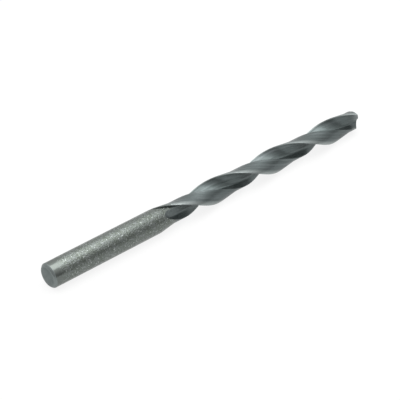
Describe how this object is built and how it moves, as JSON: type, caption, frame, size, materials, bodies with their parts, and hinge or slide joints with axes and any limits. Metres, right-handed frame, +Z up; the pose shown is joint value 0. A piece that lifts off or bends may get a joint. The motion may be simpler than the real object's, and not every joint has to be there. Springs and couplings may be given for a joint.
{
  "type": "twist drill bit",
  "caption": "Jobber-length twist drill bit with a plain round shank, right-hand helical flutes, narrow margins and a relieved cone point.",
  "frame": {"origin": "centre of the shank's flat end face, on the drill's axis", "axes": "+X along the drill's axis from the shank to the point, +Z up with the drill lying on its side"},
  "size_m": [0.1016, 0.0064, 0.0064],
  "materials": {
    "tool_steel": "grey high-speed steel: scaled, matt shank and smoother ground flutes, margins and point"
  },
  "bodies": {
    "root": {"drill_bit": "tool_steel"}
  },
  "joints": []
}
